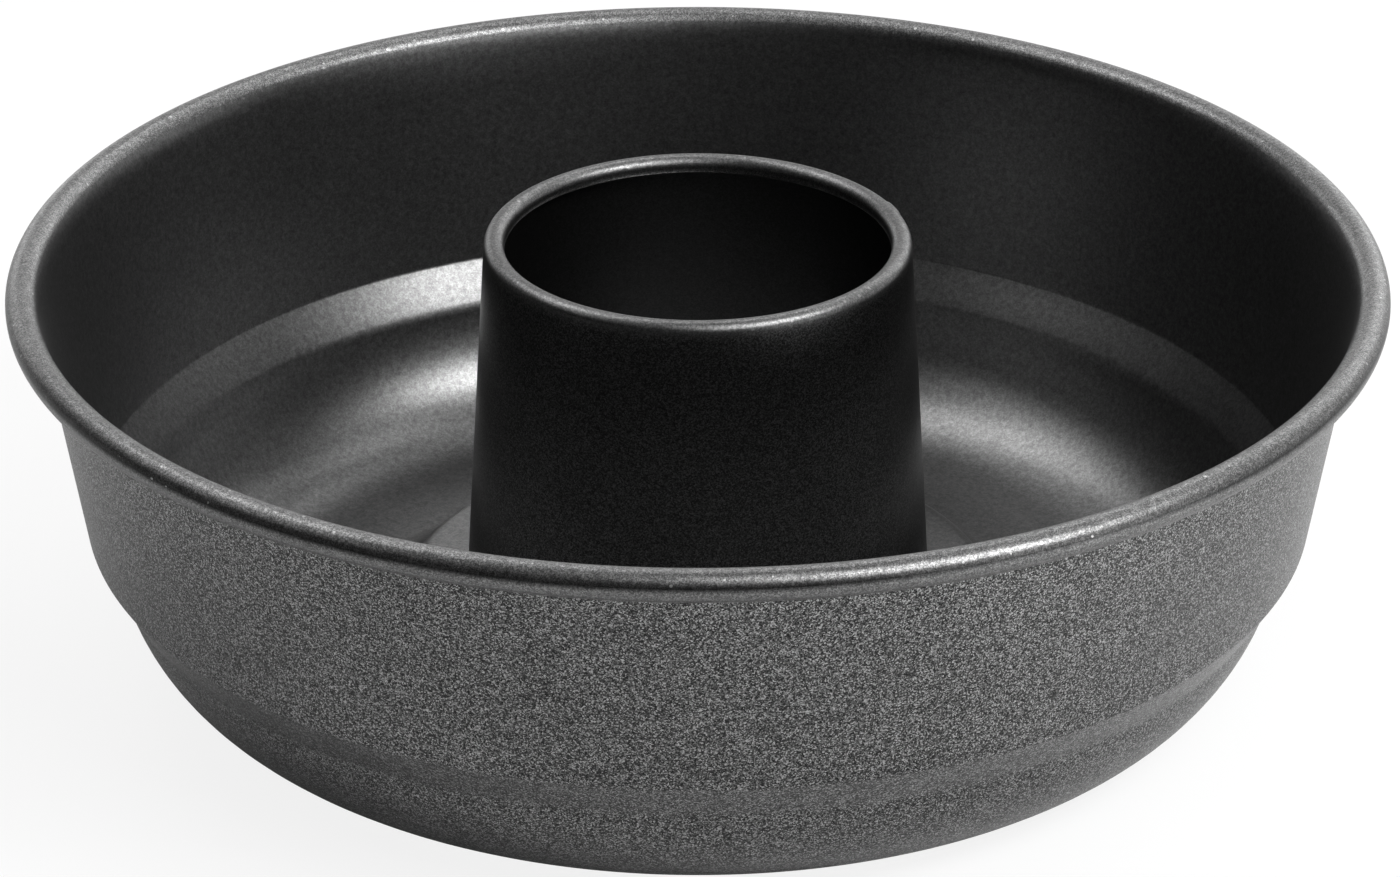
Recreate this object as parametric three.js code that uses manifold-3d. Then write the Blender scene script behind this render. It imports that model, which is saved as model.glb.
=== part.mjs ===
// Ring cake pan: a deep drawn steel shell with a rolled rim and a stepped wall, and a conical
// centre tube whose foot is folded round the neck of the shell. Millimetres, +Z up. The origin is
// on the axis, in the plane that the pan stands on.
import * as THREE from 'three';
import { mergeVertices } from 'three/addons/utils/BufferGeometryUtils.js';
import Module from 'manifold-3d';

// Driving dimensions
const shellSheet = 0.7; // thickness of the shell
const tubeSheet = 0.6; // thickness of the tube
const seamClearance = 0.3; // between the sheets that are folded together

// Rolled rim, curled outwards
const rimDiameter = 260; // over the bead
const rimHeight = 80; // top of the bead
const rimBead = 5.9; // thickness of the bead
const rimCurlTurn = 135; // degrees that the curl runs on past its outermost point

// Upper wall, a plain cone that turns a little towards the bead at its top
const wallTaper = 9.4; // degrees from upright
const rimLead = 9; // from the top of the bead down to that turn
const rimLeadBend = 24;
const rimOverhang = 0.66; // from the wall at that turn to the inner side of the bead

// Step in the wall, half way down the channel
const stepCornerHeight = 31.7;
const stepCornerBend = 2.2;
const stepWidth = 5.3; // how far the step draws the wall in
const stepDrop = 8.2;
const stepCreaseBend = 3;

// Round bottom of the channel, and the flat ring that the pan stands on
const channelRoundWidth = 26.2;
const channelRoundHeight = 30.8;
const channelInnerBend = 14;
const channelInnerRun = 6; // slope of the inner side, seen from above

// Raised flat ring round the foot of the tube
const plateauHeight = 12;
const plateauWidth = 11.3;
const plateauEdgeBend = 3;

// Centre tube
const tubeHeight = 84.9; // top of the lip
const tubeTopDiameter = 80.8; // outside, at the lip
const tubeFootDiameter = 89.4; // outside, at the height of the raised ring
const tubeLip = 3.9; // width of the lip, which is rolled inwards
const tubeLipDrop = 1.3; // free edge of the lip below the centre of the roll

// Folded seam under the raised ring
const neckDepth = 6; // from the raised ring down to the edge of the neck
const neckBend = 1.5;
const foldHeight = 3; // turned-up leg of the tube's fold

// Welded lap along the tube
const lapAngle = 21; // degrees from +X, in the middle of a facet
const lapWidth = 4;
const lapStep = 0.3; // how far the lap stands out of the wall
const lapStart = 2; // above the raised ring
const lapEnd = 0.4; // from the free edge of the lip

// Fineness of the facets
const sectors = 60;
const bendStep = 30; // degrees per facet of a bend
const roundFacets = 7; // facets of the channel's round

const radians = THREE.MathUtils.degToRad;
const point = (r, z) => new THREE.Vector2(r, z);

// Points of an arc of an ellipse, from one angle to another
function arc(centre, radiusR, radiusZ, from, to, facets) {
  return new THREE.EllipseCurve(centre.x, centre.y, radiusR, radiusZ, from, to, to < from).getPoints(facets);
}

function bendFacets(turn) {
  return Math.max(1, Math.ceil(Math.abs(turn) / radians(bendStep)));
}

// Round a corner of a sheet's centre line
function bend(before, corner, after, radius) {
  const back = before.clone().sub(corner).normalize();
  const ahead = after.clone().sub(corner).normalize();
  const half = Math.acos(THREE.MathUtils.clamp(back.dot(ahead), -1, 1)) / 2;
  const centre = back.clone().add(ahead).normalize().multiplyScalar(radius / Math.sin(half)).add(corner);
  const start = back.multiplyScalar(radius / Math.tan(half)).add(corner).sub(centre);
  const end = ahead.multiplyScalar(radius / Math.tan(half)).add(corner).sub(centre);
  const turn = Math.atan2(start.cross(end), start.dot(end));
  return arc(centre, radius, radius, start.angle(), start.angle() + turn, bendFacets(turn));
}

// Line through corners of the form [point, bend radius]; a corner without a radius stays sharp
function bentLine(corners) {
  return corners.flatMap(([corner, radius], i) => {
    if (!radius) return [corner];
    return bend(corners[i - 1][0], corner, corners[i + 1][0], radius);
  });
}

// Closed outline of a sheet that reaches so far to the left and to the right of a line
function sheetOutline(line, left, right) {
  const path = line.filter((p, i) => i === 0 || p.distanceTo(line[i - 1]) > 1e-3);
  const sides = [[], []];
  path.forEach((p, i) => {
    const into = path[Math.max(i, 1)].clone().sub(path[Math.max(i, 1) - 1]).normalize();
    const last = path.length - 2;
    const out = path[Math.min(i, last) + 1].clone().sub(path[Math.min(i, last)]).normalize();
    const along = into.clone().add(out).normalize();
    const across = point(-along.y, along.x).divideScalar(along.dot(into));
    sides[0].push(p.clone().addScaledVector(across, left));
    sides[1].push(p.clone().addScaledVector(across, -right));
  });
  const outline = [...sides[0], ...sides[1].reverse()];
  if (THREE.ShapeUtils.isClockWise(outline)) outline.reverse();
  return [...outline, outline[0].clone()];
}

function revolve(outline) {
  return new THREE.LatheGeometry(outline, sectors).rotateX(Math.PI / 2);
}

// Tube: outer radius at a height, on the line from the foot to the lip
const tubeTopRadius = tubeTopDiameter / 2;
const tubeFootRadius = tubeFootDiameter / 2;
const lipCentre = point(tubeTopRadius - tubeLip / 2, tubeHeight - tubeLip / 2);
const tubeSlope = (tubeFootRadius - tubeTopRadius) / (lipCentre.y - plateauHeight);
const tubeRadius = (z) => tubeFootRadius - tubeSlope * (z - plateauHeight);

// Neck of the shell: follows the tube at the clearance of the seam
const neckRadius = (z) => tubeRadius(z) + seamClearance + shellSheet / 2;
const neckEnd = plateauHeight - neckDepth;

// Shell: centre line of the sheet from the edge of the neck to the free edge of the rim's curl
function shellLine() {
  const half = shellSheet / 2;
  const plateau = plateauHeight - half;
  const plateauEdge = tubeFootRadius + plateauWidth;
  const curlRadius = (rimBead - shellSheet) / 2;
  const curlCentre = point((rimDiameter - rimBead) / 2, rimHeight - rimBead / 2);
  const wallTop = point(rimDiameter / 2 - rimBead - rimOverhang - half, rimHeight - rimLead);
  const stepCorner = point(
    wallTop.x - Math.tan(radians(wallTaper)) * (wallTop.y - stepCornerHeight), stepCornerHeight);
  const stepCrease = point(stepCorner.x - stepWidth, stepCornerHeight - stepDrop);

  // the channel's round is a quarter of an ellipse, cut off at the crease of the step
  const roundWidth = channelRoundWidth - half;
  const roundHeight = channelRoundHeight - half;
  const cutAngle = Math.asin((stepCrease.y - channelRoundHeight) / roundHeight);
  const roundCentre = point(stepCrease.x - roundWidth * Math.cos(cutAngle), channelRoundHeight);
  const round = arc(roundCentre, roundWidth, roundHeight, -Math.PI / 2, cutAngle, roundFacets);

  // the wall runs on into the curl without a corner
  const toCurl = curlCentre.clone().sub(wallTop);
  const spread = Math.acos(curlRadius / toCurl.length());
  const touch = toCurl.negate().angle() - spread;
  const turn = touch + radians(rimCurlTurn);

  return bentLine([
    [point(neckRadius(neckEnd), neckEnd)],
    [point(neckRadius(plateau), plateau), neckBend],
    [point(plateauEdge, plateau), plateauEdgeBend],
    [point(plateauEdge + channelInnerRun, half), channelInnerBend],
    ...round.slice(0, -1).map((p) => [p]),
    [stepCrease, stepCreaseBend],
    [stepCorner, stepCornerBend],
    [wallTop, rimLeadBend],
    ...arc(curlCentre, curlRadius, curlRadius, touch, touch - turn, bendFacets(turn)).map((p) => [p]),
  ]);
}

// Tube: centre line of the sheet from the turned-up leg of the fold to the free edge of the lip
function tubeLine(from) {
  const half = tubeSheet / 2;
  const lipRadius = (tubeLip - tubeSheet) / 2;
  const lipStart = Math.atan(tubeSlope);
  const lip = arc(lipCentre, lipRadius, lipRadius, lipStart, Math.PI, bendFacets(Math.PI));
  const edge = point(lipCentre.x - lipRadius, lipCentre.y - tubeLipDrop);
  if (from !== undefined) return [point(tubeRadius(from) - half, from), ...lip, edge.setY(edge.y + lapEnd)];
  const foldRadius = (shellSheet + tubeSheet) / 2 + seamClearance;
  const foldCentre = point(neckRadius(neckEnd), neckEnd);
  const fold = arc(foldCentre, foldRadius, foldRadius, 0, -Math.PI, 2 * bendFacets(Math.PI / 2));
  const legTop = neckEnd + foldHeight;
  return [point(neckRadius(legTop) + foldRadius, legTop), ...fold, ...lip, edge];
}

const wasm = await Module();
wasm.setup();

function toSolid(geometry) {
  const bare = geometry.index ? geometry.clone() : geometry;
  bare.deleteAttribute('normal');
  bare.deleteAttribute('uv');
  const merged = mergeVertices(bare, 1e-4);
  return new wasm.Manifold(new wasm.Mesh({
    numProp: 3,
    vertProperties: new Float32Array(merged.attributes.position.array),
    triVerts: new Uint32Array(merged.index.array),
  }));
}

function toGeometry(solid) {
  const mesh = solid.getMesh();
  const geometry = new THREE.BufferGeometry();
  geometry.setAttribute('position', new THREE.BufferAttribute(mesh.vertProperties, 3));
  geometry.setIndex(new THREE.BufferAttribute(mesh.triVerts, 1));
  geometry.computeVertexNormals();
  return geometry;
}

// Welded lap: its section, from the middle of the sheet to its face, drawn out across the tube
function lapStrip() {
  const outline = sheetOutline(tubeLine(plateauHeight + lapStart), 0, tubeSheet / 2 + lapStep);
  const strip = new THREE.ExtrudeGeometry(new THREE.Shape(outline), { depth: lapWidth, bevelEnabled: false });
  return strip.translate(0, 0, -lapWidth / 2).rotateX(Math.PI / 2).rotateZ(radians(lapAngle));
}

const coating = { roughness: 0.42, metalness: 0.55 };
const pan = new THREE.Group();

const shell = new THREE.Mesh(
  revolve(sheetOutline(shellLine(), shellSheet / 2, shellSheet / 2)),
  new THREE.MeshStandardMaterial({ color: 0x464646, ...coating }));
shell.name = 'pan_shell';
pan.add(shell);

const rolledSheet = toSolid(revolve(sheetOutline(tubeLine(), tubeSheet / 2, tubeSheet / 2)));
const tube = new THREE.Mesh(
  toGeometry(rolledSheet.add(toSolid(lapStrip()))),
  new THREE.MeshStandardMaterial({ color: 0x2c2c2c, ...coating }));
tube.name = 'centre_tube';
pan.add(tube);

export default pan;
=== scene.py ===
import math

import bpy
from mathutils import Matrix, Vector


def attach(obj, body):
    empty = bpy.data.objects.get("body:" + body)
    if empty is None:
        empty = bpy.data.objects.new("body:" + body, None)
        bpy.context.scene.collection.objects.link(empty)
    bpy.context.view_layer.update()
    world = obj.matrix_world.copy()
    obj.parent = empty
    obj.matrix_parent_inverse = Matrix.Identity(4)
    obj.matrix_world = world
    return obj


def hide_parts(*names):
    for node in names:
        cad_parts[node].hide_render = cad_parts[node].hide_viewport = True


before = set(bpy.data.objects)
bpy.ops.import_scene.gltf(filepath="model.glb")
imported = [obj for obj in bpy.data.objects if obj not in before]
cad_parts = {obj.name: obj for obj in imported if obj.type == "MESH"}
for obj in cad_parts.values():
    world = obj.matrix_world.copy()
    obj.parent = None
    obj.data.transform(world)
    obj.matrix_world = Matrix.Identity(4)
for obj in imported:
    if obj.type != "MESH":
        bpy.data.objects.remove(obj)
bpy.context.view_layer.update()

print("frame loaded:", sorted(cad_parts))

mm = 0.001
samePoint = 1e-4  # points of a line that are nearer than this, in millimetres, are one
longestFacet = 4.0  # along a sheet's line, in millimetres
sharpTurn = math.radians(50)  # bends are shaded smooth, cut edges sharp


# sheet metal lines, in millimetres: r from the axis, z above the table

def arcPoints(centre, radiusR, radiusZ, start, end, step):
    count = max(2, math.ceil(abs(end - start) / math.radians(step)))
    turns = [start + (end - start) * i / count for i in range(count + 1)]
    return [(centre[0] + radiusR * math.cos(a), centre[1] + radiusZ * math.sin(a)) for a in turns]


def bendCorner(before, corner, after, radius, step):
    back = (Vector(before) - Vector(corner)).normalized()
    ahead = (Vector(after) - Vector(corner)).normalized()
    half = math.acos(max(-1.0, min(1.0, back.dot(ahead)))) / 2
    centre = Vector(corner) + (back + ahead).normalized() * (radius / math.sin(half))
    first = Vector(corner) + back * (radius / math.tan(half)) - centre
    last = Vector(corner) + ahead * (radius / math.tan(half)) - centre
    start = math.atan2(first.y, first.x)
    turn = math.atan2(first.x * last.y - first.y * last.x, first.dot(last))
    return arcPoints(centre, radius, radius, start, start + turn, step)


# line through corners of the form (point, bend radius); a corner without a radius stays sharp
def bentLine(corners, step):
    line = []
    for i, (corner, radius) in enumerate(corners):
        if radius:
            line += bendCorner(corners[i - 1][0], corner, corners[i + 1][0], radius, step)
        else:
            line.append(corner)
    return line


def splitLong(line, longest):
    fine = [line[0]]
    for a, b in zip(line, line[1:]):
        count = max(1, math.ceil(math.dist(a, b) / longest))
        for k in range(1, count + 1):
            fine.append((a[0] + (b[0] - a[0]) * k / count, a[1] + (b[1] - a[1]) * k / count))
    return fine


def sheetSides(line, half):
    path = [Vector(p) for i, p in enumerate(line) if i == 0 or math.dist(p, line[i - 1]) > samePoint]
    leftSide, rightSide = [], []
    for i, p in enumerate(path):
        into = (path[max(i, 1)] - path[max(i, 1) - 1]).normalized()
        k = min(i, len(path) - 2)
        out = (path[k + 1] - path[k]).normalized()
        along = (into + out).normalized()
        across = Vector((-along.y, along.x)) / along.dot(into)
        leftSide.append(p + across * half)
        rightSide.append(p - across * half)
    return leftSide, rightSide


# turn the two sides of a sheet round the axis: slot 0 is the left side up to where its coat ends,
# slot 1 the rest of it, the right side and the cut edges
def turnSheet(name, sides, angles, lift=None, coated=None):
    leftSide, rightSide = sides
    loop = leftSide + rightSide[::-1]
    count, rings = len(loop), len(angles)
    verts = []
    for a in angles:
        for k, p in enumerate(loop):
            r = p.x + (lift(a, p, k >= len(leftSide)) if lift else 0.0)
            verts.append((r * math.cos(a) * mm, r * math.sin(a) * mm, p.y * mm))
    faces, slots = [], []
    for j in range(rings):
        n = (j + 1) % rings
        for k in range(count):
            m = (k + 1) % count
            faces.append((j * count + k, j * count + m, n * count + m, n * count + k))
            onLeft = k < len(leftSide) - 1 and (coated is None or coated(loop[k], loop[m]))
            slots.append(0 if onLeft else 1)
    mesh = bpy.data.meshes.new(name)
    mesh.from_pydata(verts, [], faces)
    mesh.polygons.foreach_set("material_index", slots)
    mesh.validate()
    mesh.shade_smooth()
    mesh.set_sharp_from_angle(angle=sharpTurn)
    piece = bpy.data.objects.new(name, mesh)
    bpy.context.scene.collection.objects.link(piece)
    return piece


# centre tube: a cone with a lip rolled inwards and a fold round the neck of the shell
tubeLook = {
    "sheet": 0.6, "height": 84.9, "topDiameter": 80.8, "footDiameter": 89.4,
    "lip": 3.9, "lipDrop": 1.1, "lipBurr": 0.1, "neckDepth": 6.0, "foldHeight": 3.0, "seamGap": 0.3,
    "lapAngle": 21.0, "lapWidth": 4.0, "lapStep": 0.3, "lapStart": 2.0, "lapFoot": 1.0,
    "lapReach": 0.35, "lapRunIn": 0.5, "lapBlunt": 0.06,  # shares of the lap's width
    "lapTurns": (-0.35, -0.12, 0.12, 0.35),  # degrees from the lap's far edge
    "turns": 288, "bendStep": 10, "foldStep": 15,
}

# drawn shell: neck, raised ring, round channel, step, tapered wall and rolled rim
shellLook = {
    "sheet": 0.7, "rimDiameter": 260.0, "rimHeight": 80.0, "rimBead": 5.9, "rimCurlTurn": 135.0,
    "leadInset": 6.14, "leadDrop": 3.72, "leadBend": 15.0, "coatBorder": 77.7, "wallTaper": 9.28,
    "stepCornerHeight": 31.7, "stepCornerBend": 2.2, "stepWidth": 5.3, "stepDrop": 8.2, "stepCreaseBend": 7.0,
    "roundWidth": 26.2, "roundHeight": 30.8, "innerBend": 14.0, "innerRun": 6.0,
    "raisedHeight": 12.0, "raisedWidth": 11.3, "raisedBend": 3.0, "neckBend": 1.5,
    "turns": 320, "bendStep": 5, "roundStep": 4, "curlStep": 7,
}

lipCentre = (tubeLook["topDiameter"] / 2 - tubeLook["lip"] / 2, tubeLook["height"] - tubeLook["lip"] / 2)
tubeRun = (tubeLook["footDiameter"] - tubeLook["topDiameter"]) / 2
tubeSlope = tubeRun / (lipCentre[1] - shellLook["raisedHeight"])
neckEnd = shellLook["raisedHeight"] - tubeLook["neckDepth"]
beadMiddle = (shellLook["rimDiameter"] - shellLook["rimBead"]) / 2


def tubeRadius(z):
    return tubeLook["footDiameter"] / 2 - tubeSlope * (z - shellLook["raisedHeight"])


def neckRadius(z):
    return tubeRadius(z) + tubeLook["seamGap"] + shellLook["sheet"] / 2


def shellLine():
    s = shellLook
    half = s["sheet"] / 2
    raised = s["raisedHeight"] - half
    raisedEdge = tubeLook["footDiameter"] / 2 + s["raisedWidth"]
    curlRadius = (s["rimBead"] - s["sheet"]) / 2
    curlCentre = Vector((beadMiddle, s["rimHeight"] - s["rimBead"] / 2))
    wallTop = Vector((s["rimDiameter"] / 2 - s["leadInset"], s["rimHeight"] - s["leadDrop"]))
    stepCorner = wallTop.x - math.tan(math.radians(s["wallTaper"])) * (wallTop.y - s["stepCornerHeight"])
    stepCrease = (stepCorner - s["stepWidth"], s["stepCornerHeight"] - s["stepDrop"])

    # the channel's round is a quarter of an ellipse, cut off at the crease of the step
    wide, high = s["roundWidth"] - half, s["roundHeight"] - half
    cut = math.asin((stepCrease[1] - s["roundHeight"]) / high)
    roundCentre = (stepCrease[0] - wide * math.cos(cut), s["roundHeight"])
    channel = arcPoints(roundCentre, wide, high, -math.pi / 2, cut, s["roundStep"])

    # the wall runs on into the curl without a corner
    toWall = wallTop - curlCentre
    touch = math.atan2(toWall.y, toWall.x) % (2 * math.pi) - math.acos(curlRadius / toWall.length)
    curlEnd = -math.radians(s["rimCurlTurn"])
    curl = arcPoints(curlCentre, curlRadius, curlRadius, touch, curlEnd, s["curlStep"])

    return bentLine([
        ((neckRadius(neckEnd), neckEnd), 0),
        ((neckRadius(raised), raised), s["neckBend"]),
        ((raisedEdge, raised), s["raisedBend"]),
        ((raisedEdge + s["innerRun"], half), s["innerBend"]),
        *[(p, 0) for p in channel[:-1]],
        (stepCrease, s["stepCreaseBend"]),
        ((stepCorner, s["stepCornerHeight"]), s["stepCornerBend"]),
        (tuple(wallTop), s["leadBend"]),
        *[(p, 0) for p in curl],
    ], s["bendStep"])


def tubeLine():
    t = tubeLook
    lipRadius = (t["lip"] - t["sheet"]) / 2
    foldRadius = (shellLook["sheet"] + t["sheet"]) / 2 + t["seamGap"]
    legTop = neckEnd + t["foldHeight"]
    fold = arcPoints((neckRadius(neckEnd), neckEnd), foldRadius, foldRadius, 0, -math.pi, t["foldStep"])
    lip = arcPoints(lipCentre, lipRadius, lipRadius, math.atan(tubeSlope), math.pi, t["bendStep"])
    edge = (lipCentre[0] - lipRadius, lipCentre[1] - t["lipDrop"])
    burr = (edge[0] - t["lipBurr"], edge[1] - t["lipBurr"])
    return [(neckRadius(legTop) + foldRadius, legTop), *fold, *lip, edge, burr]


# the welded lap stands out of the tube: sharp on its far edge, run out on the near one
def lapRise(angle, p, outer):
    t = tubeLook
    low = shellLook["raisedHeight"] + t["lapStart"]
    if not outer or p.y < low or p.x < lipCentre[0]:
        return 0.0
    across = (angle - math.radians(t["lapAngle"])) * p.x / t["lapWidth"] + 0.5
    near = (across + t["lapReach"]) / t["lapRunIn"]
    far = (1.0 + t["lapBlunt"] / 2 - across) / t["lapBlunt"]
    rise = min(1.0, max(0.0, near if across < 0.5 else far))
    return t["lapStep"] * rise * min(1.0, (p.y - low) / t["lapFoot"])


# the smooth coat of the inside ends on the outer side of the rim's bead
def insideReach(a, b):
    middle = (a + b) / 2
    return middle.x <= beadMiddle or middle.y > shellLook["coatBorder"]


def evenTurns(count):
    return [2 * math.pi * i / count for i in range(count)]


lapEdge = math.radians(tubeLook["lapAngle"]) + tubeLook["lapWidth"] / tubeLook["topDiameter"]
lapTurns = [lapEdge + math.radians(d) for d in tubeLook["lapTurns"]]
tubeTurns = sorted(evenTurns(tubeLook["turns"]) + lapTurns)

shellSides = sheetSides(splitLong(shellLine(), longestFacet), shellLook["sheet"] / 2)
tubeSides = sheetSides(splitLong(tubeLine(), longestFacet), tubeLook["sheet"] / 2)
shellPiece = turnSheet("drawn_shell", shellSides, evenTurns(shellLook["turns"]), None, insideReach)
tubePiece = turnSheet("rolled_tube", tubeSides, tubeTurns, lapRise)

dressed = ((shellPiece, "pan_shell", "shell_coating"), (tubePiece, "centre_tube", "tube_coating"))
for piece, node, slot in dressed:
    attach(piece, "root")
    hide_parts(node)
print("sheets turned:", len(shellPiece.data.polygons), "and", len(tubePiece.data.polygons), "faces")


# shared effects of the coatings

never = 999.0  # a height or radius, in millimetres, that the pan doesn't reach
perMetre = 1000.0  # millimetres


def newGroup(name, inputs, outputs):
    group = bpy.data.node_groups.new(name, "ShaderNodeTree")
    for label, value in inputs.items():
        socket = group.interface.new_socket(label, in_out="INPUT", socket_type="NodeSocketFloat")
        socket.default_value = value
    for label in outputs:
        group.interface.new_socket(label, in_out="OUTPUT", socket_type="NodeSocketFloat")
    return group, group.nodes.new("NodeGroupInput"), group.nodes.new("NodeGroupOutput")


def link(tree, a, b):
    tree.links.new(a, b)


def mathNode(tree, kind, a, b=None, clamp=False):
    node = tree.nodes.new("ShaderNodeMath")
    node.operation = kind
    node.use_clamp = clamp
    for socket, value in zip(node.inputs, (a, b)):
        if value is None:
            continue
        if isinstance(value, (int, float)):
            socket.default_value = value
        else:
            link(tree, value, socket)
    return node.outputs[0]


# coordinates on the pan, counted in cells of a size given in millimetres
def sizedCoords(tree, sizeSocket):
    where = tree.nodes.new("ShaderNodeTexCoord")
    scale = tree.nodes.new("ShaderNodeVectorMath")
    scale.operation = "SCALE"
    link(tree, where.outputs["Object"], scale.inputs[0])
    link(tree, mathNode(tree, "DIVIDE", perMetre, sizeSocket), scale.inputs["Scale"])
    return scale.outputs[0]


# distance from the axis and height above the table, in millimetres
def axisPlace(tree):
    where = tree.nodes.new("ShaderNodeTexCoord")
    parts = tree.nodes.new("ShaderNodeSeparateXYZ")
    link(tree, where.outputs["Object"], parts.inputs[0])
    squares = [mathNode(tree, "MULTIPLY", parts.outputs[axis], parts.outputs[axis]) for axis in ("X", "Y")]
    radius = mathNode(tree, "SQRT", mathNode(tree, "ADD", *squares))
    return [mathNode(tree, "MULTIPLY", place, perMetre) for place in (radius, parts.outputs["Z"])]


# metal flakes in the coat, each lighter or darker by its tilt, over a softer and coarser grain
def makeFlakes():
    grainSwing = 5.0
    darkest = 0.05
    g, gin, gout = newGroup(
        "metalFlakes", {"Flake mm": 0.3, "Contrast": 1.0, "Grain mm": 0.9, "Grain": 0.1}, ["Shade", "Relief"])
    cells = g.nodes.new("ShaderNodeTexVoronoi")
    cells.inputs["Scale"].default_value = 1.0
    link(g, sizedCoords(g, gin.outputs["Flake mm"]), cells.inputs["Vector"])
    cellShade = g.nodes.new("ShaderNodeSeparateColor")
    link(g, cells.outputs["Color"], cellShade.inputs[0])
    tilt = mathNode(g, "SUBTRACT", mathNode(g, "MULTIPLY", cellShade.outputs[0], 2.0), 1.0)
    power = mathNode(g, "EXPONENT", mathNode(g, "MULTIPLY", tilt, gin.outputs["Contrast"]))
    even = mathNode(g, "DIVIDE", gin.outputs["Contrast"], mathNode(g, "SINH", gin.outputs["Contrast"]))
    fine = mathNode(g, "MULTIPLY", power, even)  # keeps the mean at one
    grain = g.nodes.new("ShaderNodeTexNoise")
    grain.inputs["Scale"].default_value = 1.0
    grain.inputs["Detail"].default_value = 2.0
    grain.inputs["Roughness"].default_value = 0.6
    link(g, sizedCoords(g, gin.outputs["Grain mm"]), grain.inputs["Vector"])
    swing = mathNode(g, "MULTIPLY", mathNode(g, "SUBTRACT", grain.outputs[0], 0.5), grainSwing)
    coarse = mathNode(g, "ADD", mathNode(g, "MULTIPLY", swing, gin.outputs["Grain"]), 1.0)
    shade = mathNode(g, "MAXIMUM", mathNode(g, "MULTIPLY", fine, coarse), darkest)
    link(g, shade, gout.inputs["Shade"])
    halves = [mathNode(g, "MULTIPLY", part, 0.5) for part in (cellShade.outputs[1], grain.outputs[0])]
    link(g, mathNode(g, "ADD", *halves), gout.inputs["Relief"])
    return g


# broad unevenness of a sprayed and baked coat
def makeMottle():
    g, gin, gout = newGroup("coatMottle", {"Patch mm": 18.0, "Amount": 0.1}, ["Level"])
    cloud = g.nodes.new("ShaderNodeTexNoise")
    cloud.inputs["Scale"].default_value = 1.0
    cloud.inputs["Detail"].default_value = 3.0
    link(g, sizedCoords(g, gin.outputs["Patch mm"]), cloud.inputs["Vector"])
    spread = mathNode(g, "SUBTRACT", mathNode(g, "MULTIPLY", cloud.outputs[0], 2.0), 1.0)
    level = mathNode(g, "ADD", mathNode(g, "MULTIPLY", spread, gin.outputs["Amount"]), 1.0)
    link(g, level, gout.inputs["Level"])
    return g


# pale dots: stray specks that sit on the coat, and painted glints on a rolled edge
def makeSpecksAndGlints():
    g, gin, gout = newGroup("paleSpecksAndPaintedGlints", {"Spacing mm": 6.0, "Speck mm": 0.25, "Share": 0.35}, ["Speck"])
    cells = g.nodes.new("ShaderNodeTexVoronoi")
    cells.inputs["Scale"].default_value = 1.0
    link(g, sizedCoords(g, gin.outputs["Spacing mm"]), cells.inputs["Vector"])
    pick = g.nodes.new("ShaderNodeSeparateColor")
    link(g, cells.outputs["Color"], pick.inputs[0])
    size = mathNode(g, "DIVIDE", gin.outputs["Speck mm"], gin.outputs["Spacing mm"])
    near = mathNode(g, "LESS_THAN", cells.outputs["Distance"], mathNode(g, "MULTIPLY", size, pick.outputs[1]))
    kept = mathNode(g, "LESS_THAN", pick.outputs[0], gin.outputs["Share"])
    link(g, mathNode(g, "MULTIPLY", near, kept), gout.inputs["Speck"])
    return g


# rolled edge, whose coat has its own roughness and flakes and is painted a lighter grey for the light a
# rounded edge catches: a mask that comes in above a height or beyond a radius
def makeEdge():
    g, gin, gout = newGroup("rolledEdge", {"Height mm": never, "Radius mm": never, "Fade mm": 1.0}, ["Edge"])
    radius, height = axisPlace(g)
    masks = []
    for place, limit in ((height, "Height mm"), (radius, "Radius mm")):
        past = mathNode(g, "SUBTRACT", place, gin.outputs[limit])
        masks.append(mathNode(g, "DIVIDE", past, gin.outputs["Fade mm"], clamp=True))
    link(g, mathNode(g, "MAXIMUM", *masks), gout.inputs["Edge"])
    return g


# painted shade: a dark line along the outer side of a bead, below its highlight, where the two coats meet
def makeShadeLine():
    g, gin, gout = newGroup(
        "coatBorder", {"Height mm": never, "Radius mm": never, "Half width mm": 0.5, "Depth": 0.5}, ["Level"])
    radius, height = axisPlace(g)
    off = mathNode(g, "ABSOLUTE", mathNode(g, "SUBTRACT", height, gin.outputs["Height mm"]))
    fade = mathNode(g, "DIVIDE", off, gin.outputs["Half width mm"])
    line = mathNode(g, "SUBTRACT", 1.0, fade, clamp=True)
    outer = mathNode(g, "GREATER_THAN", radius, gin.outputs["Radius mm"])
    dark = mathNode(g, "MULTIPLY", mathNode(g, "MULTIPLY", line, outer), gin.outputs["Depth"])
    link(g, mathNode(g, "SUBTRACT", 1.0, dark), gout.inputs["Level"])
    return g


flakesGroup, mottleGroup, specksAndGlintsGroup = makeFlakes(), makeMottle(), makeSpecksAndGlints()
edgeGroup, shadeLineGroup = makeEdge(), makeShadeLine()
print("coat effects made")


# coats: grey levels, sizes in millimetres, edge heights and radii from the table and the axis
speckCover = 0.6
speckColour = (0.7, 0.7, 0.69, 1.0)
# painted glints: near-white dots on a rolled edge, standing for the sparkle of its flakes in the light
paintedGlintColour = (0.95, 0.95, 0.95, 1.0)
bumpDistance = 0.05 * mm

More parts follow.
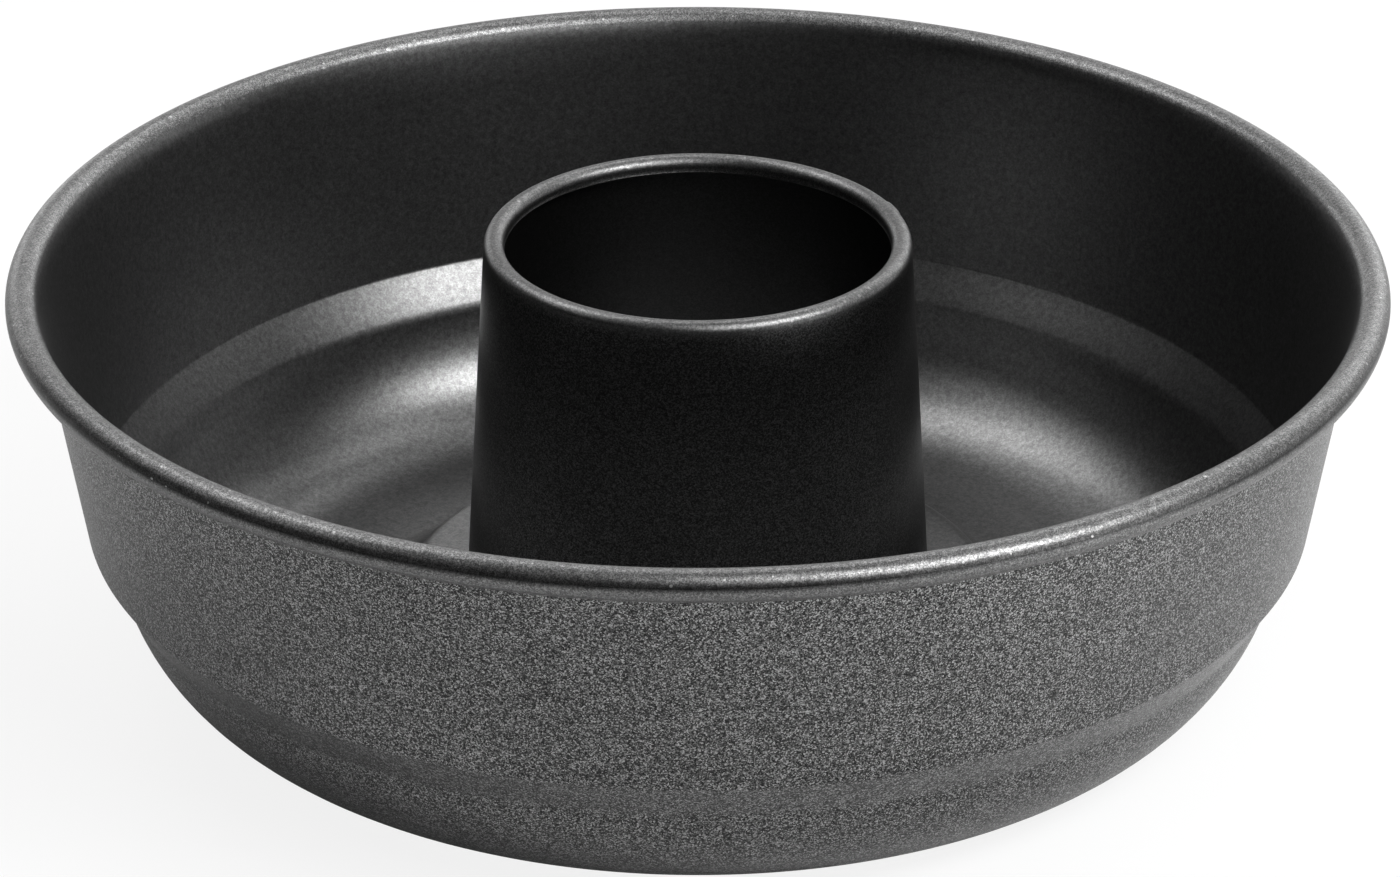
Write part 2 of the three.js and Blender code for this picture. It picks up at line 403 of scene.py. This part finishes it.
plainCoat = {
    "grazing": 1.0, "edgeHeight": never, "edgeRadius": never, "edgeFade": 0.6,
    # painted glints on a rolled edge: none unless a coat sets a level
    "paintedGlintSpacing": 0.9, "paintedGlintSize": 0.4, "paintedGlintShare": 0.08, "paintedGlintLevel": 0.0,
    # painted shade: a dark line along a bead, none unless a coat sets a depth
    "shadeLineHeight": never, "shadeLineRadius": never, "shadeLineHalf": 1.0, "shadeLineDepth": 0.0,
}
beadCoat = {
    **plainCoat, "edgeRadius": 123.9,
    # painted shade: a dark line along the outer side of the bead
    "shadeLineHeight": 77.75, "shadeLineRadius": beadMiddle, "shadeLineDepth": 0.85,
}
outsideCoat = {
    **beadCoat, "name": "outsideCoat",
    "colour": 0.111, "roughness": 0.42, "roughSpread": 0.12, "bump": 0.3,
    "flake": 0.22, "contrast": 1.7, "grainSize": 0.8, "grain": 0.06, "patch": 22.0, "mottle": 0.05,
    # bead: its own flakes, and a lighter grey painted for the light the rounded edge catches
    "edgeCoatAndSheen": 0.128, "edgeRoughness": 0.42, "edgeFlake": 0.22, "edgeContrast": 0.6,
    "speckSpacing": 9.0, "speckSize": 0.3, "speckShare": 0.1,
}
insideCoat = {
    **beadCoat, "name": "insideCoat",
    "colour": 0.145, "roughness": 0.34, "roughSpread": 0.08, "bump": 0.2,
    "flake": 0.27, "contrast": 0.2, "grainSize": 1.1, "grain": 0.2, "patch": 30.0, "mottle": 0.04,
    # bead: rougher, its own flakes, and a lighter grey painted for the light the rounded edge catches
    "edgeCoatAndSheen": 0.16, "edgeRoughness": 0.42, "edgeFlake": 0.2, "edgeContrast": 0.65,
    "speckSpacing": 8.0, "speckSize": 0.25, "speckShare": 0.15,
    # painted glints on the bead
    "paintedGlintSize": 0.35, "paintedGlintShare": 0.05, "paintedGlintLevel": 0.3,
}
tubeCoat = {
    **plainCoat, "name": "tubeCoat",
    "colour": 0.08, "roughness": 0.34, "roughSpread": 0.08, "grazing": 0.7, "bump": 0.2,
    "flake": 0.22, "contrast": 0.85, "grainSize": 0.9, "grain": 0.05, "patch": 30.0, "mottle": 0.04,
    "edgeHeight": 81.7, "edgeFade": 2.3,
    # lip: rougher, its own flakes, and a lighter grey painted for the light the rounded lip catches
    "edgeCoatAndSheen": 0.15, "edgeRoughness": 0.4, "edgeFlake": 0.27, "edgeContrast": 0.4,
    # pale specks, and painted glints on the lip
    "speckSpacing": 8.0, "speckSize": 0.25, "speckShare": 0.15, "paintedGlintLevel": 0.15,
}
boreCoat = {
    **tubeCoat, "name": "boreCoat",
    "contrast": 0.2, "grain": 0.08, "edgeHeight": never, "paintedGlintLevel": 0.0,
}

# first, second and result sockets of a Mix node, by its kind
mixSockets = {"RGBA": (6, 7, 2), "FLOAT": (2, 3, 0)}


def mixNode(tree, kind, factor, a, b):
    node = tree.nodes.new("ShaderNodeMix")
    node.data_type = kind
    first, second, result = mixSockets[kind]
    for socket, value in ((node.inputs["Factor"], factor), (node.inputs[first], a), (node.inputs[second], b)):
        if isinstance(value, tuple):
            socket.default_value = value
        else:
            link(tree, value, socket)
    return node.outputs[result]


def addGroup(tree, group, look, sockets):
    node = tree.nodes.new("ShaderNodeGroup")
    node.node_tree = group
    for label, key in sockets.items():
        node.inputs[label].default_value = look[key]
    return node


def grey(level):
    return (level, level, level, 1.0)


def coatMaterial(look):
    mat = bpy.data.materials.new(look["name"])
    mat.use_nodes = True
    tree = mat.node_tree
    shader = tree.nodes["Principled BSDF"]
    edge = addGroup(tree, edgeGroup, look, {
        "Height mm": "edgeHeight", "Radius mm": "edgeRadius", "Fade mm": "edgeFade"})
    flakes = addGroup(tree, flakesGroup, look, {
        "Flake mm": "flake", "Contrast": "contrast", "Grain mm": "grainSize", "Grain": "grain"})
    edgeFlakes = addGroup(tree, flakesGroup, look, {
        "Flake mm": "edgeFlake", "Contrast": "edgeContrast", "Grain mm": "grainSize", "Grain": "grain"})
    mottle = addGroup(tree, mottleGroup, look, {"Patch mm": "patch", "Amount": "mottle"})
    specks = addGroup(tree, specksAndGlintsGroup, look, {
        "Spacing mm": "speckSpacing", "Speck mm": "speckSize", "Share": "speckShare"})
    # painted glints on a rolled edge
    paintedGlints = addGroup(tree, specksAndGlintsGroup, look, {
        "Spacing mm": "paintedGlintSpacing", "Speck mm": "paintedGlintSize", "Share": "paintedGlintShare"})
    # painted shade: a dark line along the outer side of a bead
    paintedShadeLine = addGroup(tree, shadeLineGroup, look, {
        "Height mm": "shadeLineHeight", "Radius mm": "shadeLineRadius",
        "Half width mm": "shadeLineHalf", "Depth": "shadeLineDepth"})
    onEdge = edge.outputs["Edge"]

    shade = mixNode(tree, "FLOAT", onEdge, flakes.outputs["Shade"], edgeFlakes.outputs["Shade"])
    uneven = mathNode(tree, "MULTIPLY", shade, mottle.outputs["Level"])
    tone = tree.nodes.new("ShaderNodeVectorMath")
    tone.operation = "SCALE"
    # a rolled edge takes a lighter grey, painted for the light it catches
    link(tree, mixNode(tree, "RGBA", onEdge, grey(look["colour"]), grey(look["edgeCoatAndSheen"])), tone.inputs[0])
    link(tree, mathNode(tree, "MULTIPLY", uneven, paintedShadeLine.outputs["Level"]), tone.inputs["Scale"])
    # painted glints laid over the coat on a rolled edge
    glintOnEdge = mathNode(tree, "MULTIPLY", paintedGlints.outputs["Speck"], onEdge)
    glintCover = mathNode(tree, "MULTIPLY", glintOnEdge, look["paintedGlintLevel"])
    withPaintedGlints = mixNode(tree, "RGBA", glintCover, tone.outputs[0], paintedGlintColour)
    speckOn = mathNode(tree, "MULTIPLY", specks.outputs["Speck"], speckCover)
    link(tree, mixNode(tree, "RGBA", speckOn, withPaintedGlints, speckColour), shader.inputs["Base Color"])

    relief = mathNode(tree, "SUBTRACT", flakes.outputs["Relief"], 0.5)
    spread = mathNode(tree, "MULTIPLY", relief, look["roughSpread"])
    edgeChange = mathNode(tree, "MULTIPLY", onEdge, look["edgeRoughness"] - look["roughness"])
    mottled = mathNode(tree, "MULTIPLY", mottle.outputs["Level"], look["roughness"])
    even = mathNode(tree, "ADD", mottled, edgeChange)
    link(tree, mathNode(tree, "ADD", even, spread, clamp=True), shader.inputs["Roughness"])
    shader.inputs["Metallic"].default_value = 1.0
    shader.inputs["Specular Tint"].default_value = grey(look["grazing"])

    bump = tree.nodes.new("ShaderNodeBump")
    bump.inputs["Strength"].default_value = look["bump"]
    bump.inputs["Distance"].default_value = bumpDistance
    link(tree, flakes.outputs["Relief"], bump.inputs["Height"])
    link(tree, bump.outputs[0], shader.inputs["Normal"])
    return mat


outsideMat, insideMat = coatMaterial(outsideCoat), coatMaterial(insideCoat)
tubeMat, boreMat = coatMaterial(tubeCoat), coatMaterial(boreCoat)
for mat in (insideMat, outsideMat):
    shellPiece.data.materials.append(mat)
for mat in (boreMat, tubeMat):
    tubePiece.data.materials.append(mat)
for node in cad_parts.values():
    node.data.materials.clear()
    node.data.materials.append(outsideMat)
print("coats laid on")


# floor: white paper that keeps the pan's shadow, lit up for the eye and a little in reflections
floorLook = {"size": 4.0, "gap": 0.1 * mm, "colour": 0.85, "ownLight": 0.86, "shownLight": 0.05}


def makeFloor(look):
    mesh = bpy.data.meshes.new("studio_floor")
    h = look["size"] / 2
    z = -look["gap"]
    mesh.from_pydata([(-h, -h, z), (h, -h, z), (h, h, z), (-h, h, z)], [], [(0, 1, 2, 3)])
    floor = bpy.data.objects.new("studio_floor", mesh)
    bpy.context.scene.collection.objects.link(floor)
    mat = bpy.data.materials.new("floorPaper")
    mat.use_nodes = True
    tree = mat.node_tree
    tree.nodes.remove(tree.nodes["Principled BSDF"])
    paper = tree.nodes.new("ShaderNodeBsdfDiffuse")
    paper.inputs["Color"].default_value = grey(look["colour"])
    glow = tree.nodes.new("ShaderNodeEmission")
    glow.inputs["Strength"].default_value = 1.0
    rays = tree.nodes.new("ShaderNodeLightPath")
    mirrored = mathNode(tree, "MAXIMUM", rays.outputs["Is Glossy Ray"], rays.outputs["Is Transmission Ray"])
    toEye = mathNode(tree, "MULTIPLY", rays.outputs["Is Camera Ray"], look["ownLight"])
    toMetal = mathNode(tree, "MULTIPLY", mirrored, look["shownLight"])
    mix = tree.nodes.new("ShaderNodeMixShader")
    link(tree, mathNode(tree, "MAXIMUM", toEye, toMetal), mix.inputs[0])
    link(tree, paper.outputs[0], mix.inputs[1])
    link(tree, glow.outputs[0], mix.inputs[2])
    link(tree, mix.outputs[0], tree.nodes["Material Output"].inputs["Surface"])
    mesh.materials.append(mat)


makeFloor(floorLook)


# soft boxes round the pan: turn from +X and height above the floor in degrees, width, height and
# distance in metres, watts; the wide ones behind stand for a white sweep, the cards for low reflectors
softBoxes = {
    "boxKey": (324, 42, 0.3, 0.3, 1.4, 5.27),
    "boxKeyHigh": (330, 52, 0.3, 0.3, 1.4, 3.6),
    "boxKeyRight": (336, 42, 0.3, 0.3, 1.4, 2.84),
    "boxSweep": (90, 12, 1.6, 0.5, 1.4, 2.76),
    "boxSweepRight": (55, 30, 0.8, 0.4, 1.4, 2.52),
    "boxSweepLeftLow": (125, 12, 0.8, 0.5, 1.4, 2.08),
    "boxSweepRightLow": (55, 12, 0.8, 0.5, 1.4, 2.02),
    "boxFrontNear": (300, 45, 0.3, 0.3, 0.7, 1.68),
    "boxFrontHigh": (288, 68, 0.42, 0.42, 1.4, 1.6),
    "boxBackRight": (72, 44, 0.42, 0.42, 1.4, 1.5),
    "boxLeft": (168, 44, 0.42, 0.42, 1.4, 0.95),
    "boxRightHigh": (30, 56, 0.42, 0.42, 1.4, 1.65),
    "boxRightLow": (20, 12, 0.8, 0.5, 1.4, 1.4),
    "boxSweepHigh": (90, 30, 0.8, 0.4, 1.4, 1.09),
    "boxLeftFront": (192, 44, 0.42, 0.42, 1.4, 0.65),
    "boxRight": (0, 44, 0.42, 0.42, 1.4, 0.85),
    "boxBackRightLow": (48, 20, 0.42, 0.42, 1.4, 0.88),
    "boxTopNear": (90, 60, 0.3, 0.3, 0.7, 0.66),
    "boxLeftHighNear": (150, 60, 0.3, 0.3, 0.7, 0.95),
    "boxBackLeftNear": (135, 50, 0.3, 0.3, 0.7, 0.62),
    "cardFront": (315, 0, 0.2, 0.09, 0.4, 0.27),
    "cardRight": (330, 0, 0.2, 0.09, 0.38, 0.24),
}
boxAim = Vector((0, 0, 0.05))
worldLevel = 0.0


def faceTowards(holder, direction):
    holder.rotation_mode = "QUATERNION"
    holder.rotation_quaternion = direction.to_track_quat("-Z", "Y")
    bpy.context.scene.collection.objects.link(holder)


def addSoftBox(name, turn, rise, width, height, reach, watts):
    lamp = bpy.data.lights.new(name, "AREA")
    lamp.shape = "RECTANGLE"
    lamp.size = width
    lamp.size_y = height
    lamp.energy = watts
    holder = bpy.data.objects.new(name, lamp)
    a, e = math.radians(turn), math.radians(rise)
    away = Vector((math.cos(e) * math.cos(a), math.cos(e) * math.sin(a), math.sin(e)))
    holder.location = boxAim + away * reach
    faceTowards(holder, -away)


for name, values in softBoxes.items():
    addSoftBox(name, *values)

world = bpy.data.worlds.new("studio")
bpy.context.scene.world = world
world.use_nodes = True
world.node_tree.nodes["Background"].inputs["Strength"].default_value = worldLevel
bpy.context.scene.view_settings.view_transform = "Standard"
print("lights set:", len(softBoxes))


# camera, from the outlines of the rim, the tube and the wall: metres, radians, and the focal length in
# pixels of the photograph's width; the sensor in millimetres
cameraLook = {
    "distance": 1.0741, "elevation": 0.4566, "aim": (0.0004, 0.0, 0.0422),
    "focal": 5608.7, "photoWidth": 1400, "sensor": 36.0, "clip": (0.05, 20),
}


def addCamera(look):
    data = bpy.data.cameras.new("photoView")
    data.sensor_width = look["sensor"]
    data.lens = look["focal"] * look["sensor"] / look["photoWidth"]
    data.clip_start, data.clip_end = look["clip"]
    camera = bpy.data.objects.new("photoView", data)
    back = Vector((0, -math.cos(look["elevation"]), math.sin(look["elevation"])))
    camera.location = Vector(look["aim"]) + back * look["distance"]
    faceTowards(camera, -back)
    bpy.context.scene.camera = camera


addCamera(cameraLook)
